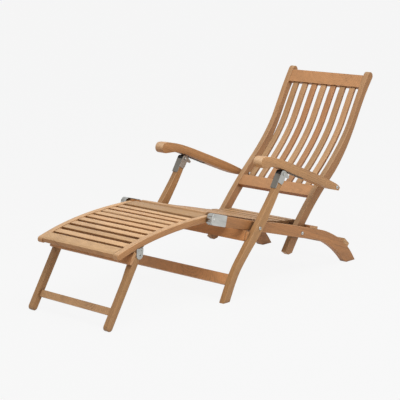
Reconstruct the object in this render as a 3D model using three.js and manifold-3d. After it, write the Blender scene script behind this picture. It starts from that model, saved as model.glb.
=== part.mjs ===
// A folding steamer deck chair in oiled hardwood with satin steel fittings, in millimetres.
// +X runs from the foot end to the head end, +Z is up and the sitter's left hand is at -Y. The
// origin is on the floor, in the middle of the chair. While the pieces are made, X starts at the
// front ends of the seat rails, and the whole chair is centred at the end.

import * as THREE from 'three';
import { mergeVertices } from 'three/addons/utils/BufferGeometryUtils.js';
import Module from 'manifold-3d';

const wasm = await Module();
wasm.setup();

// Across the chair
const widthOverLegs = 584;
const legThickness = 26;
const legToRail = 10;
const railThickness = 26;
const railToPanel = 3;
const panelStileThickness = 26;
const seatToRail = 45;
const armWidth = 54;
const armOverhang = 8;

// Fits and finishes shared by every piece
const fit = 0.3;
const easedEdge = 2;
const plateThickness = 2;
const boltRadius = 4;
const boltHeadRadius = 7.5;
const boltHeadHeight = 3.5;
const nutRadius = 6.5;
const nutHeight = 5;
const spacerRadius = 8;
const peenRadius = 6;
const overrun = 20;
const tenonLength = 9;
const shoulder = 4;

// Seat rails, each running down into a rear leg
const railRun = 886;
const railHeight = 336;
const railDepth = 44;
const railLineShares = [[0, 1], [0.255, 0.812], [0.37, 0.741], [0.54, 0.623], [0.616, 0.568],
  [0.727, 0.491], [0.79, 0.436], [0.857, 0.345], [0.916, 0.241], [0.973, 0.101], [1.02, -0.071]];
const railDepthShares = [1, 0.96, 1.02, 1.1, 1.1, 1.02, 1.08, 1.2, 1.34, 1.4, 1.42];
const boltDrop = 3.5;
const footHeelRadius = 16;

// Main leg frame
const legBoltAlong = 226;
const legRun = 343;
const legHeight = 455;
const legDepth = 42;
const legLineShares = [[-0.053, -0.088], [0.16, 0.22], [0.37, 0.41], [0.6, 0.594], [0.81, 0.79],
  [0.925, 0.91], [1, 1]];
const legDepthShares = [0.84, 0.8, 0.85, 1.02, 0.86, 0.76, 0.76];
const lowerRailHeight = 80;
const crossRailDepth = 44;
const crossRailThickness = 20;
const upperRailAhead = 46;

// Leg top fittings
const rollerRadius = 16;
const rollerRise = 21;
const rollerSegments = 16;
const strapLength = 72;
const cheekLength = 44;
const cheekRadius = 15;
const catchReach = 38;
const catchDrop = 4;
const catchDepth = 9;

// Back frame, measured from its pivot along the chord of the stiles
const backPivotAlong = 546;
const backLean = 39.1;
const backLength = 806;
const backTail = 104;
const backBow = 47;
const stileDepth = 46;
const stileLineShares = [[-0.129, -0.2], [0, -0.07], [0.173, -0.2], [0.316, -0.5], [0.449, -0.88],
  [0.571, -1], [0.683, -0.89], [0.785, -0.6], [0.877, -0.34], [0.948, -0.2], [1, -0.13]];
const stileDepthShares = [0.96, 0.96, 0.92, 0.98, 1, 0.86, 0.7, 0.67, 0.7, 0.76, 0.82];
const tailChamfer = 14;
const topRailDepth = 60;
const topRailDrop = 6;
const lowerBackRailDepth = 55;
const lowerBackRailAlong = 201;
const backRailThickness = 22;
const backRailSetback = 3;
const backSlatCount = 7;
const backSlatWidthShare = 0.074;
const backSlatPitchShare = 0.1338;
const backSlatThickness = 13;

// Arms, measured from their bolts towards the nose
const armBoltAlong = 253;
const armBoltForward = -30;
const armLength = 545;
const armDepth = 37;
const armTopShares = [[-0.037, 0.1], [0.006, 0.33], [0.116, 0.44], [0.25, 0.5], [0.57, 0.5],
  [0.71, 0.47], [0.81, 0.39], [0.885, 0.24], [0.955, -0.03], [0.995, -0.42]];
const armUndersideShares = [[0.985, -0.98], [0.945, -1.26], [0.895, -1.02], [0.83, -0.66],
  [0.77, -0.51], [0.7, -0.46], [0.6, -0.5], [0.25, -0.5], [0.08, -0.46], [-0.03, -0.3]];
const rackStart = 228;
const rackLength = 110;
const rackThickness = 5;
const rackHousing = 1.5;
const rackWidth = 14;
const rackNotchCount = 5;
const rackToothShares = [0, 0.5, 0.65, 0.85];
const rackNotchDepth = 2.5;

// Seat panel
const seatStart = 40;
const seatRun = 551;
const seatStartHeight = 351;
const seatDrop = 122;
const seatLineShares = [[0, 0], [0.347, 0.429], [0.523, 0.641], [0.737, 0.853], [1, 1]];
const seatSlatCount = 11;
const seatSlatGap = 12;
const slatThickness = 12;
const nosingWidth = 40;
const nosingThickness = 16;
const nosingRound = 11;
const slatRound = 3;
const bearerDepth = 26;
const bearerThickness = 22;
const bearerInset = 14;
const bearerTail = 38;
const bearerLineShares = [0.02, 0.2, 0.4, 0.6, 0.8, 1];
const stretcherWidth = 40;
const stretcherThickness = 20;
const stretcherPlaceShares = [0.075, 0.51];
const battenWidth = 54;
const battenThickness = 12;
const rearBattenWidth = 44;
const rearBattenThickness = 18;
const rearBattenPlaceShare = 0.94;
const battenHousing = 1.5;

// Footrest, measured from its hinge pins towards its front end
const hingeAhead = 11;
const hingePlateLength = 72;
const hingeBarrelRadius = 7;
const hingeNoseShare = 0.8;
const footrestRun = 488;
const footrestDrop = 66;
const footrestLineShares = [[0, 0], [0.21, 0.03], [0.42, 0.13], [0.62, 0.31], [0.8, 0.56],
  [0.92, 0.79], [1, 0.96]];
const footStileDepth = 25;
const footSlatCount = 9;
const footSlatWidth = 29;
const footSlatSetDown = 2.5;
const footSlatPitch = 43;
const firstFootSlat = 78;
const frontRailWidth = 52;
const rearRailWidth = 64;
const rearRailTail = 16;
const footRailThickness = 18;
const frontRailRound = 12.6;

// Foot leg frame, measured from the pins that it folds on
const footPinAlong = 386;
const footPinDrop = 49;
const footLegLean = 31.8;
const footLegDepth = 28;
const footLegAhead = 2;
const footLegTop = -20;
const footRailHeight = 65;
const footRailDepth = 28;
const footRailCrossThickness = 14;
const frontBattenDepth = 50;
const frontBattenThickness = 15;
const earThickness = 3;
const earRadius = 9;
const plateWidth = 34;
const earReach = 40;
const pinRadius = 3.5;

// Places across the chair, worked out from the widths above
const legOuter = widthOverLegs / 2;
const legInner = legOuter - legThickness;
const railOuter = legInner - legToRail;
const railInner = railOuter - railThickness;
const panelOuter = railInner - railToPanel;
const panelInner = panelOuter - panelStileThickness;
const armOuter = legOuter + armOverhang;
const armInner = armOuter - armWidth;
const seatHalf = railInner - seatToRail;
const backSlatWidth = panelInner * 2 * backSlatWidthShare;
const backSlatPitch = panelInner * 2 * backSlatPitchShare;
const rackTop = rackHousing - armDepth / 2;
const rackMiddle = (legInner + legOuter) / 2;
const sides = [['left', -1], ['right', 1]];

// Materials
const wood = (colour) => new THREE.MeshStandardMaterial({ color: colour, roughness: 0.62, metalness: 0 });
const lightWood = wood(0xc9996b);
const midWood = wood(0xb88658);
const redWood = wood(0xb47a52);
const steel = new THREE.MeshStandardMaterial({ color: 0xb9b9b4, roughness: 0.34, metalness: 1 });
const rubber = new THREE.MeshStandardMaterial({ color: 0x17171a, roughness: 0.8, metalness: 0 });

// Solids and booleans

function solidOf(geometry) {
  const bare = geometry.clone();
  bare.deleteAttribute('normal');
  bare.deleteAttribute('uv');
  const welded = mergeVertices(bare);
  const triangles = [];
  for (let i = 0; i < welded.index.count; i += 3) {
    const corners = [0, 1, 2].map((k) => welded.index.getX(i + k));
    if (new Set(corners).size === 3) triangles.push(...corners);
  }
  return new wasm.Manifold(new wasm.Mesh({
    numProp: 3,
    vertProperties: Float32Array.from(welded.attributes.position.array),
    triVerts: Uint32Array.from(triangles),
  }));
}

function geometryOf(solid) {
  const mesh = solid.getMesh();
  const geometry = new THREE.BufferGeometry();
  geometry.setAttribute('position', new THREE.BufferAttribute(mesh.vertProperties, 3));
  geometry.setIndex(new THREE.BufferAttribute(mesh.triVerts, 1));
  const faceted = geometry.toNonIndexed();
  faceted.computeVertexNormals();
  return faceted;
}

const cut = (geometry, ...tools) => geometryOf(
  tools.reduce((solid, tool) => solid.subtract(solidOf(tool)), solidOf(geometry)));

const join = (geometry, ...others) => geometryOf(
  others.reduce((solid, other) => solid.add(solidOf(other)), solidOf(geometry)));

// An outline in the side plane, pushed across the chair from one Y to another
function acrossChair(outline, yStart, yEnd, eased = 0) {
  const shape = new THREE.Shape(outline);
  const low = Math.min(yStart, yEnd);
  const high = Math.max(yStart, yEnd);
  const geometry = new THREE.ExtrudeGeometry(shape, {
    depth: high - low - 2 * eased,
    steps: 1,
    bevelEnabled: eased > 0,
    bevelSize: eased,
    bevelThickness: eased,
    bevelOffset: -eased,
    bevelSegments: 1,
  });
  geometry.rotateX(Math.PI / 2);
  geometry.translate(0, high - eased, 0);
  return geometry;
}

// What a bolt hole takes away, right across the chair
function bore(x = 0, z = 0, radius = boltRadius + fit) {
  const geometry = new THREE.CylinderGeometry(radius, radius, widthOverLegs + 2 * overrun, 12);
  geometry.translate(x, 0, z);
  return geometry;
}

// A block given by its length, width and height, and the place and tilt of its middle
function block(length, width, height, x, y, z, tilt = 0) {
  const geometry = new THREE.BoxGeometry(length, width, height);
  geometry.rotateY(tilt);
  geometry.translate(x, y, z);
  return geometry;
}

// A round piece on an axis across the chair, from radii and distances out from the middle
function turned(profile, side, x, z, segments = 12) {
  const points = profile.map(([radius, out]) => new THREE.Vector2(radius, out * side));
  if (side < 0) points.reverse();
  const geometry = new THREE.LatheGeometry(points, segments);
  geometry.translate(x, 0, z);
  return geometry;
}

// A bolt with a domed head outside and a nut inside, and a spacer between two faces if given
function boltGeometry(side, x, z, inner, outer, spacer) {
  const sleeve = spacer ? [
    [boltRadius, spacer.from], [spacerRadius, spacer.from],
    [spacerRadius, spacer.to], [boltRadius, spacer.to],
  ] : [];
  return turned([
    [0, inner - nutHeight], [nutRadius, inner - nutHeight], [nutRadius, inner], [boltRadius, inner],
    ...sleeve,
    [boltRadius, outer], [boltHeadRadius, outer], [boltHeadRadius, outer + boltHeadHeight / 3],
    [boltHeadRadius / 2, outer + boltHeadHeight], [0, outer + boltHeadHeight],
  ], side, x, z);
}

// Outlines

const splineOf = (shares, run, rise) => new THREE.SplineCurve(
  shares.map(([along, up]) => new THREE.Vector2(along * run, up * rise)));

// How deep a bar is at each place along its line, as a smooth curve through its depth shares
function depthAt(shares, depth, t) {
  const curve = new THREE.SplineCurve(shares.map((share, i) => new THREE.Vector2(i, share)));
  return curve.getPoint(t).y * depth;
}

function normalAt(curve, t) {
  const tangent = curve.getTangent(t);
  return new THREE.Vector2(-tangent.y, tangent.x);
}

// A bar that follows a line, with its depth at every place, as one closed outline
function barOutline(curve, depths, steps, { roundStart = false, roundEnd = false } = {}) {
  const upper = [];
  const lower = [];
  for (let i = 0; i <= steps; i += 1) {
    const t = i / steps;
    const reach = normalAt(curve, t).multiplyScalar(depths(t) / 2);
    upper.push(curve.getPoint(t).add(reach));
    lower.push(curve.getPoint(t).sub(reach));
  }
  const start = roundStart ? roundEndPoints(curve.getPoint(0), lower[0]) : [];
  const end = roundEnd ? roundEndPoints(curve.getPoint(1), upper[steps]) : [];
  return [...lower, ...end.reverse(), ...upper.reverse(), ...start.reverse()];
}

// The points of a half circle about a centre, that starts at a given point and turns clockwise
function roundEndPoints(centre, from, steps = 7) {
  const points = [];
  for (let i = 1; i < steps; i += 1) {
    points.push(from.clone().rotateAround(centre, -Math.PI * (i / steps)));
  }
  return points;
}

// A closed outline whose corners are rounded by the radius that each one carries
function rounded(corners, steps = 4) {
  return corners.flatMap(([x, y, radius = 0], i) => {
    const corner = new THREE.Vector2(x, y);
    if (radius === 0) return [corner];
    const towards = (other) => corner.clone().add(
      new THREE.Vector2(other[0], other[1]).sub(corner).setLength(radius));
    const before = towards(corners[(i + corners.length - 1) % corners.length]);
    const after = towards(corners[(i + 1) % corners.length]);
    return new THREE.QuadraticBezierCurve(before, corner, after).getPoints(steps);
  });
}

// The value between two ends up to which a test holds
function lastThat(holds, low, high) {
  const middle = (low + high) / 2;
  if (high - low < fit / 1e6) return middle;
  return holds(middle) ? lastThat(holds, middle, high) : lastThat(holds, low, middle);
}

// Where a line that always climbs or falls one way passes a given X or Y
function parameterWhere(curve, key, value) {
  const rising = curve.getPoint(1)[key] > curve.getPoint(0)[key];
  return lastThat((t) => (curve.getPoint(t)[key] < value) === rising, 0, 1);
}

const turnOf = (vector) => -Math.atan2(vector.y, vector.x);

function piece(name, geometry, material) {
  const mesh = new THREE.Mesh(geometry, material);
  mesh.name = name;
  return mesh;
}

function placedGroup(x, z, turn, pieces) {
  const group = new THREE.Group();
  group.position.set(x, 0, z);
  group.rotation.y = turn;
  group.add(...pieces);
  return group;
}

// The lines that the seat frame and leg frame are drawn on

const railLine = splineOf(railLineShares, railRun, railHeight);
const railDepths = (t) => depthAt(railDepthShares, railDepth, t);
const onRail = (x) => {
  const t = parameterWhere(railLine, 'x', x);
  return {
    t, point: railLine.getPoint(t), normal: normalAt(railLine, t), tangent: railLine.getTangent(t),
  };
};
const boltOnRail = (x) => onRail(x).point.addScaledVector(onRail(x).normal, -boltDrop);
const legBolt = boltOnRail(legBoltAlong);
const backPivot = boltOnRail(backPivotAlong);
const legLine = splineOf(legLineShares, legRun, legHeight);
const legFootX = legBolt.x - legLine.getPoint(parameterWhere(legLine, 'y', legBolt.y)).x;
const seatLine = new THREE.SplineCurve(seatLineShares.map(([along, down]) => new THREE.Vector2(
  seatStart + along * seatRun, seatStartHeight - down * seatDrop)));

// Back frame, in its own frame: X up the chord from the pivot, Z towards the sitter

const chordTurn = -THREE.MathUtils.degToRad(90 - backLean);
const stileLine = splineOf(stileLineShares, backLength, backBow);
const stileDepths = (t) => depthAt(stileDepthShares, stileDepth, t);
const onStile = (x) => {
  const t = parameterWhere(stileLine, 'x', x);
  return {
    t, point: stileLine.getPoint(t), normal: normalAt(stileLine, t), tangent: stileLine.getTangent(t),
  };
};

// A place in the back's frame, seen in the seat's
const fromBack = (point) => new THREE.Vector2(
  backPivot.x + point.x * Math.cos(chordTurn) + point.y * Math.sin(chordTurn),
  backPivot.y - point.x * Math.sin(chordTurn) + point.y * Math.cos(chordTurn));

const armBolt = new THREE.Vector2(armBoltAlong, armBoltForward);
const armBoltPlace = fromBack(armBolt);

function backStile(name, side) {
  const outline = barOutline(stileLine, stileDepths, 26, { roundEnd: true });
  const stile = acrossChair(outline, side * panelInner, side * panelOuter, easedEdge);
  const tail = onStile(-backTail);
  const corner = tail.point.clone().addScaledVector(tail.normal, -stileDepth / 2);
  const chamfer = block(tailChamfer * 2, 2 * (panelOuter + overrun), tailChamfer * 2,
    corner.x, 0, corner.y, turnOf(tail.tangent) + Math.PI / 4);
  const mortises = [topRailPlace(), lowerBackRailPlace()].map((place) => backRailTenon(place, fit));
  return piece(name, cut(stile, chamfer, bore(), bore(armBolt.x, armBolt.y), ...mortises), lightWood);
}

// Where a back rail sits: its middle, its tilt and its depth, set back from the stiles' front
function railOnStile(along, depth) {
  const at = onStile(along);
  const back = stileDepths(at.t) / 2 - backRailSetback - backRailThickness / 2;
  const middle = at.point.clone().addScaledVector(at.normal, back);
  return { middle, tilt: turnOf(at.tangent), depth };
}

const topRailPlace = () => railOnStile(backLength - topRailDrop - topRailDepth / 2, topRailDepth);
const lowerBackRailPlace = () => railOnStile(lowerBackRailAlong, lowerBackRailDepth);

function backRailTenon(place, clearance) {
  return block(place.depth - 2 * shoulder + 2 * clearance, 2 * (panelInner + tenonLength + clearance),
    backRailThickness - 2 * shoulder + 2 * clearance, place.middle.x, 0, place.middle.y, place.tilt);
}

function backRail(name, place) {
  const board = block(place.depth, 2 * (panelInner - fit), backRailThickness,
    place.middle.x, 0, place.middle.y, place.tilt);
  const slats = backSlatPlaces().map((y) => backSlatGeometry(y, fit));
  return piece(name, cut(join(board, backRailTenon(place, 0)), ...slats), midWood);
}

const backSlatPlaces = () => Array.from({ length: backSlatCount },
  (_, i) => (i - (backSlatCount - 1) / 2) * backSlatPitch);

// A back slat follows the rails' middles, so it bows with the stiles
function backSlatGeometry(y, clearance = 0) {
  const from = lowerBackRailAlong + lowerBackRailDepth / 2 - tenonLength - clearance;
  const to = backLength - topRailDrop - topRailDepth + tenonLength + clearance;
  const steps = 12;
  const points = Array.from({ length: steps + 1 }, (_, i) => {
    const at = onStile(from + (to - from) * (i / steps));
    const back = stileDepths(at.t) / 2 - backRailSetback - backRailThickness / 2;
    return at.point.clone().addScaledVector(at.normal, back);
  });
  const line = new THREE.SplineCurve(points);
  const outline = barOutline(line, () => backSlatThickness + 2 * clearance, steps);
  const half = backSlatWidth / 2 + clearance;
  return acrossChair(outline, y - half, y + half, clearance > 0 ? 0 : easedEdge);
}

function backFrame() {
  const slats = backSlatPlaces().map((y, i) => piece(`back_slat_${i + 1}`, backSlatGeometry(y),
    i % 2 ? redWood : lightWood));
  return placedGroup(backPivot.x, backPivot.y, chordTurn, [
    ...sides.map(([word, side]) => backStile(`back_stile_${word}`, side)),
    backRail('back_top_rail', topRailPlace()),
    backRail('back_lower_rail', lowerBackRailPlace()),
    ...slats,
  ]);
}

// Main leg frame, in its own frame at the leg bolts

const legInFrame = new THREE.SplineCurve(legLineShares.map(([along, up]) => new THREE.Vector2(
  along * legRun + legFootX - legBolt.x, up * legHeight - legBolt.y)));
const legDepths = (t) => depthAt(legDepthShares, legDepth, t);
const legTopTangent = legInFrame.getTangent(1);
const legTopTurn = turnOf(legTopTangent) + Math.PI / 2;
const legTopDepth = legDepths(1);
const rollerPlace = legInFrame.getPoint(1).addScaledVector(legTopTangent, rollerRise);

function leg(name, side) {
  const outline = barOutline(legInFrame, legDepths, 24);
  const blank = acrossChair(outline, side * legInner, side * legOuter, easedEdge);
  const belowFloor = block(legRun * 2, 2 * (legOuter + overrun), legHeight, legFootX - legBolt.x, 0,
    -legBolt.y - legHeight / 2);
  const strapSeat = block(legDepth, legThickness + 2 * overrun, strapLength + 2 * fit,
    -legTopDepth / 2 - legDepth / 2, side * (legInner + legOuter) / 2, (rollerRise - strapLength) / 2);
  strapSeat.rotateY(legTopTurn);
  strapSeat.translate(rollerPlace.x, 0, rollerPlace.y);
  const mortises = [lowerRailPlace(), upperRailPlace()].map((place) => crossRailTenon(place, fit));
  return piece(name, cut(blank, belowFloor, strapSeat, bore(), ...mortises), midWood);
}

// The lower cross rail lies along the legs, just behind their front edges
function lowerRailPlace() {
  const t = parameterWhere(legInFrame, 'y', lowerRailHeight - legBolt.y);
  const back = legDepths(t) / 2 - easedEdge - crossRailThickness / 2;
  const middle = legInFrame.getPoint(t).addScaledVector(normalAt(legInFrame, t), back);
  return { middle, tilt: turnOf(legInFrame.getTangent(t)) + Math.PI / 2 };
}

// The upper cross rail bears on the underside of the seat rails and stops the legs there
function upperRailPlace() {
  const at = onRail(legBoltAlong - upperRailAhead);
  const down = railDepths(at.t) / 2 + fit + crossRailDepth / 2;
  const middle = at.point.clone().addScaledVector(at.normal, -down).sub(legBolt);
  return { middle, tilt: turnOf(at.tangent) };
}

function crossRailTenon(place, clearance) {
  return block(crossRailThickness - 2 * shoulder + 2 * clearance, 2 * (legInner + tenonLength + clearance),
    crossRailDepth - 2 * shoulder + 2 * clearance, place.middle.x, 0, place.middle.y, place.tilt);
}

function crossRail(name, place) {
  const board = block(crossRailThickness, 2 * (legInner - fit), crossRailDepth,
    place.middle.x, 0, place.middle.y, place.tilt);
  return piece(name, join(board, crossRailTenon(place, 0)), redWood);
}

// A folded steel bracket: a strap down the leg's front and two cheeks that hold the roller
function legTopBracket(name, side) {
  const front = -legTopDepth / 2 - fit;
  const rear = legTopDepth / 2;
  const cheek = rounded([
    [front - plateThickness, -strapLength], [front, -strapLength], [front, -cheekLength],
    [rear - shoulder, -cheekLength, shoulder], [rear, -cheekLength + shoulder * 3, shoulder],
    [rear, -catchDepth], [catchReach, catchDrop - catchDepth, 2 * plateThickness],
    [catchReach, catchDrop, plateThickness], [cheekRadius, cheekRadius - catchDrop, shoulder],
    [0, cheekRadius, cheekRadius / 2], [front - plateThickness, cheekRadius / 2, cheekRadius / 2],
  ]);
  const low = legInner - fit - plateThickness;
  const high = legOuter + fit + plateThickness;
  const body = acrossChair(cheek, side * low, side * high);
  const middle = side * (legInner + legOuter) / 2;
  const between = legThickness + 2 * fit;
  const hollow = block(legDepth * 2, between, legHeight, front + legDepth, middle, 0);
  const opening = block(legDepth * 3, between, legDepth, 0, middle, legDepth / 2 - rollerRadius / 2);
  const bracket = piece(name, cut(body, hollow, opening, bore()), steel);
  bracket.position.set(rollerPlace.x, 0, rollerPlace.y);
  bracket.rotation.y = legTopTurn;
  return bracket;
}

// The rubber roller that the arm lies on, with the pin that holds it
function armRoller(name, side) {
  const face = [legInner + fit, legOuter - fit];
  const ends = [legInner - fit * 2 - plateThickness, legOuter + fit * 2 + plateThickness];
  return piece(name, turned([
    [0, ends[0] - boltHeadHeight], [peenRadius, ends[0] - boltHeadHeight], [peenRadius, ends[0]],
    [boltRadius, ends[0]], [boltRadius, face[0]], [rollerRadius, face[0]],
    [rollerRadius, face[1]], [boltRadius, face[1]], [boltRadius, ends[1]],
    [peenRadius, ends[1]], [peenRadius, ends[1] + boltHeadHeight], [0, ends[1] + boltHeadHeight],
  ], side, rollerPlace.x, rollerPlace.y, rollerSegments), rubber);
}

function legFrame() {
  return placedGroup(legBolt.x, legBolt.y, 0, [
    ...sides.map(([word, side]) => leg(`leg_${word}`, side)),
    crossRail('leg_lower_rail', lowerRailPlace()),
    crossRail('leg_upper_rail', upperRailPlace()),
    ...sides.map(([word, side]) => legTopBracket(`leg_top_bracket_${word}`, side)),
    ...sides.map(([word, side]) => armRoller(`arm_roller_${word}`, side)),
  ]);
}

// Arms, in their own frame: X back along the arm from the bolt, Z up through it

// The arm's top or underside, from its shares of the arm's length and depth
function armEdge(shares) {
  const line = new THREE.SplineCurve(shares.map(([forward, up]) => new THREE.Vector2(
    -forward * armLength, up * armDepth)));
  return line.getPoints(21);
}

// The pitch at which the arm's underside has just come down on the leg top roller
function armPitch() {
  const roller = rollerPlace.clone().add(legBolt).sub(armBoltPlace);
  const underside = armEdge(armUndersideShares).map((point) => new THREE.Vector3(point.x, point.y, 0));
  const straightTo = Math.atan2(roller.y, -roller.x);
  const touches = (pitch) => {
    const at = roller.clone().rotateAround(new THREE.Vector2(), pitch);
    const middle = new THREE.Vector3(at.x, at.y, 0);
    return underside.slice(1).some((point, i) => new THREE.Line3(underside[i], point)
      .closestPointToPoint(middle, true, new THREE.Vector3()).distanceTo(middle) < rollerRadius + fit);
  };
  return lastThat(touches, straightTo, straightTo + Math.PI / 8);
}

// An arm board, with a bolt hole at its rear end and a housing for the rack in its underside
function arm(name, side) {
  const outline = [...armEdge(armUndersideShares), ...armEdge(armTopShares)];
  const blank = acrossChair(outline, side * armInner, side * armOuter, easedEdge * 2);
  const housing = block(rackLength + 2 * fit, rackWidth + 2 * fit, armDepth,
    -rackStart - rackLength / 2, side * rackMiddle, rackTop - armDepth / 2);
  return piece(name, cut(blank, bore(), housing), lightWood);
}

// The notched steel rack that is let into the arm's underside
function armRack(name, side) {
  const top = rackTop - fit;
  const bottom = top - rackThickness;
  const pitch = rackLength / rackNotchCount;
  const teeth = Array.from({ length: rackNotchCount }, (_, i) => {
    const x = -rackStart - rackLength + i * pitch;
    return [
      new THREE.Vector2(x + pitch * rackToothShares[0], bottom),
      new THREE.Vector2(x + pitch * rackToothShares[1], bottom),
      new THREE.Vector2(x + pitch * rackToothShares[2], bottom + rackNotchDepth),
      new THREE.Vector2(x + pitch * rackToothShares[3], bottom + rackNotchDepth),
    ];
  }).flat();
  const outline = [
    ...teeth, new THREE.Vector2(-rackStart, bottom),
    new THREE.Vector2(-rackStart, top), new THREE.Vector2(-rackStart - rackLength, top),
  ];
  return piece(name, acrossChair(outline, side * (rackMiddle - rackWidth / 2),
    side * (rackMiddle + rackWidth / 2)), steel);
}

function arms() {
  return placedGroup(armBoltPlace.x, armBoltPlace.y, armPitch(), sides.flatMap(([word, side]) => [
    arm(`arm_${word}`, side),
    armRack(`arm_rack_${word}`, side),
    piece(`arm_bolt_${word}`, boltGeometry(side, 0, 0, panelInner - fit, armOuter + fit,
      { from: panelOuter + fit, to: armInner - fit }), steel),
  ]));
}

// Seat frame: rails, panel, stretchers and battens

// The flat batten behind the back, whose front edge stops the back at its lowest
function seatBattenPlace() {
  const rearEdge = (along) => fromBack(
    onStile(along).point.addScaledVector(onStile(along).normal, -stileDepths(onStile(along).t) / 2));
  const above = (point) => point.clone().sub(onRail(point.x).point).dot(onRail(point.x).normal)
    - railDepths(onRail(point.x).t) / 2 + battenHousing;
  const along = lastThat((a) => above(rearEdge(a)) < battenThickness, -backTail, backTail);
  const touch = rearEdge(along);
  const at = onRail(touch.x);
  const front = touch.addScaledVector(at.tangent, fit * 2 + battenWidth / 2);
  return { middle: front.addScaledVector(at.normal, -battenThickness / 2), tilt: turnOf(at.tangent) };
}

function rearBattenPlace() {
  const t = parameterWhere(railLine, 'x', rearBattenPlaceShare * railRun);
  const up = railDepths(t) / 2 - battenHousing * 2 + rearBattenThickness / 2;
  const middle = railLine.getPoint(t).addScaledVector(normalAt(railLine, t), up);
  return { middle, tilt: turnOf(railLine.getTangent(t)) };
}

const battenBlock = (place, width, thickness, clearance) => block(width + 2 * clearance,
  2 * (railOuter + clearance), thickness + 2 * clearance, place.middle.x, 0, place.middle.y, place.tilt);

const seatBattenGeometry = (clearance = 0) => battenBlock(seatBattenPlace(), battenWidth,
  battenThickness, clearance);
const rearBattenGeometry = (clearance = 0) => battenBlock(rearBattenPlace(), rearBattenWidth,
  rearBattenThickness, clearance);

// A stretcher between the rails, let up into the bearers just under the slats
function stretcherPlace(share) {
  const tangent = seatLine.getTangent(share);
  const down = slatThickness + shoulder + stretcherThickness / 2;
  return {
    middle: seatLine.getPoint(share).addScaledVector(normalAt(seatLine, share), -down),
    tilt: turnOf(tangent),
  };
}

function stretcherGeometry(share, clearance = 0) {
  const place = stretcherPlace(share);
  const board = block(stretcherWidth, 2 * (railInner - fit), stretcherThickness,
    place.middle.x, 0, place.middle.y, place.tilt);
  const tenon = block(stretcherWidth - 2 * shoulder + 2 * clearance,
    2 * (railInner + tenonLength + clearance), stretcherThickness - 2 * shoulder + 2 * clearance,
    place.middle.x, 0, place.middle.y, place.tilt);
  return clearance > 0 ? tenon : join(board, tenon);
}

function stretcherHousing(share) {
  const place = stretcherPlace(share);
  return block(stretcherWidth + 2 * fit, 2 * railInner, stretcherThickness + 2 * fit,
    place.middle.x, 0, place.middle.y, place.tilt);
}

function seatRail(name, side) {
  const outline = barOutline(railLine, railDepths, 30);
  const blank = acrossChair(outline, side * railInner, side * railOuter, easedEdge);
  const holes = [bore(legBolt.x, legBolt.y), bore(backPivot.x, backPivot.y)];
  const belowFloor = block(railRun * 3, 2 * (railOuter + overrun), railHeight, 0, 0, -railHeight / 2);
  const heel = heelCutter();
  const mortises = stretcherPlaceShares.map((share) => stretcherGeometry(share, fit));
  return piece(name, cut(blank, belowFloor, heel, seatBattenGeometry(fit), rearBattenGeometry(fit),
    ...holes, ...mortises), lightWood);
}

// What is taken off the sharp inner corner of the rear foot to round it
function heelCutter() {
  const t = parameterWhere(railLine, 'y', 0);
  const innerX = railLine.getPoint(t).x - railDepths(t) / 2 / Math.abs(normalAt(railLine, t).x);
  const tangent = railLine.getTangent(t);
  const along = new THREE.Vector2(-tangent.x, -tangent.y).setLength(footHeelRadius);
  const corner = new THREE.Vector2(innerX, 0);
  const before = corner.clone().add(along);
  const after = new THREE.Vector2(innerX + footHeelRadius, 0);
  const curve = new THREE.QuadraticBezierCurve(after, corner, before).getPoints(5);
  const outside = [
    new THREE.Vector2(before.x - overrun, before.y),
    new THREE.Vector2(innerX - overrun, -overrun),
    new THREE.Vector2(after.x, -overrun),
  ];
  return acrossChair([...curve, ...outside], -railOuter - overrun, railOuter + overrun);
}

// A slat section with its top at the origin, eased at its upper edges
function slatSection(width, thickness, nose = easedEdge) {
  return rounded([
    [-width / 2, -thickness], [width / 2, -thickness],
    [width / 2, 0, slatRound], [-width / 2, 0, nose],
  ], 2);
}

function slatOn(line, share, width, thickness, halfLength, nose) {
  const slat = acrossChair(slatSection(width, thickness, nose), -halfLength, halfLength);
  const at = line.getPointAt(share);
  slat.rotateY(turnOf(line.getTangentAt(share)));
  slat.translate(at.x, 0, at.y);
  return slat;
}

// The middle of a bearer, which bears up into the slats a little so that the two are one solid
function bearerLine() {
  const down = slatThickness + bearerDepth / 2 - fit;
  const tail = seatLine.getPoint(1).addScaledVector(seatLine.getTangent(1), bearerTail);
  const points = [...bearerLineShares.map((share) => seatLine.getPoint(share)), tail];
  const last = bearerLineShares.length - 1;
  return new THREE.SplineCurve(points.map((point, i) => point.addScaledVector(
    normalAt(seatLine, Math.min(i / last, 1)), -down)));
}

// Slats on two bearers, made up as one panel
function seatPanel() {
  const length = seatLine.getLength();
  const first = nosingWidth / 2 + seatSlatGap;
  const pitch = (length - first + seatSlatGap) / seatSlatCount;
  const slats = Array.from({ length: seatSlatCount }, (_, i) => slatOn(seatLine,
    (first + (i + 0.5) * pitch - seatSlatGap / 2) / length, pitch - seatSlatGap, slatThickness, seatHalf));
  const outer = seatHalf - bearerInset;
  const outline = barOutline(bearerLine(), () => bearerDepth, 12);
  const bearers = sides.map(([, side]) => cut(
    acrossChair(outline, side * (outer - bearerThickness), side * outer),
    seatBattenGeometry(fit), ...stretcherPlaceShares.map((share) => stretcherHousing(share))));
  return piece('seat_panel', join(bearers[0], bearers[1], ...slats), redWood);
}

function seatNosing() {
  const nosing = slatOn(seatLine, 0, nosingWidth, nosingThickness, seatHalf, nosingRound);
  const bearerMiddle = seatHalf - bearerInset - bearerThickness / 2;
  const bearerRoom = sides.map(([, side]) => block(nosingWidth * 2, bearerThickness + 2 * fit,
    bearerDepth * 2, seatStart + nosingWidth / 2, side * bearerMiddle,
    seatStartHeight - slatThickness - bearerDepth - fit, turnOf(seatLine.getTangent(0))));
  return piece('seat_nosing', cut(nosing, ...bearerRoom), lightWood);
}

// Footrest hinges: steel folded round the front end of each rail, with a barrel ahead of the wood

const hingePin = railLine.getPoint(0).addScaledVector(railLine.getTangent(0), -hingeAhead);

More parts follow.
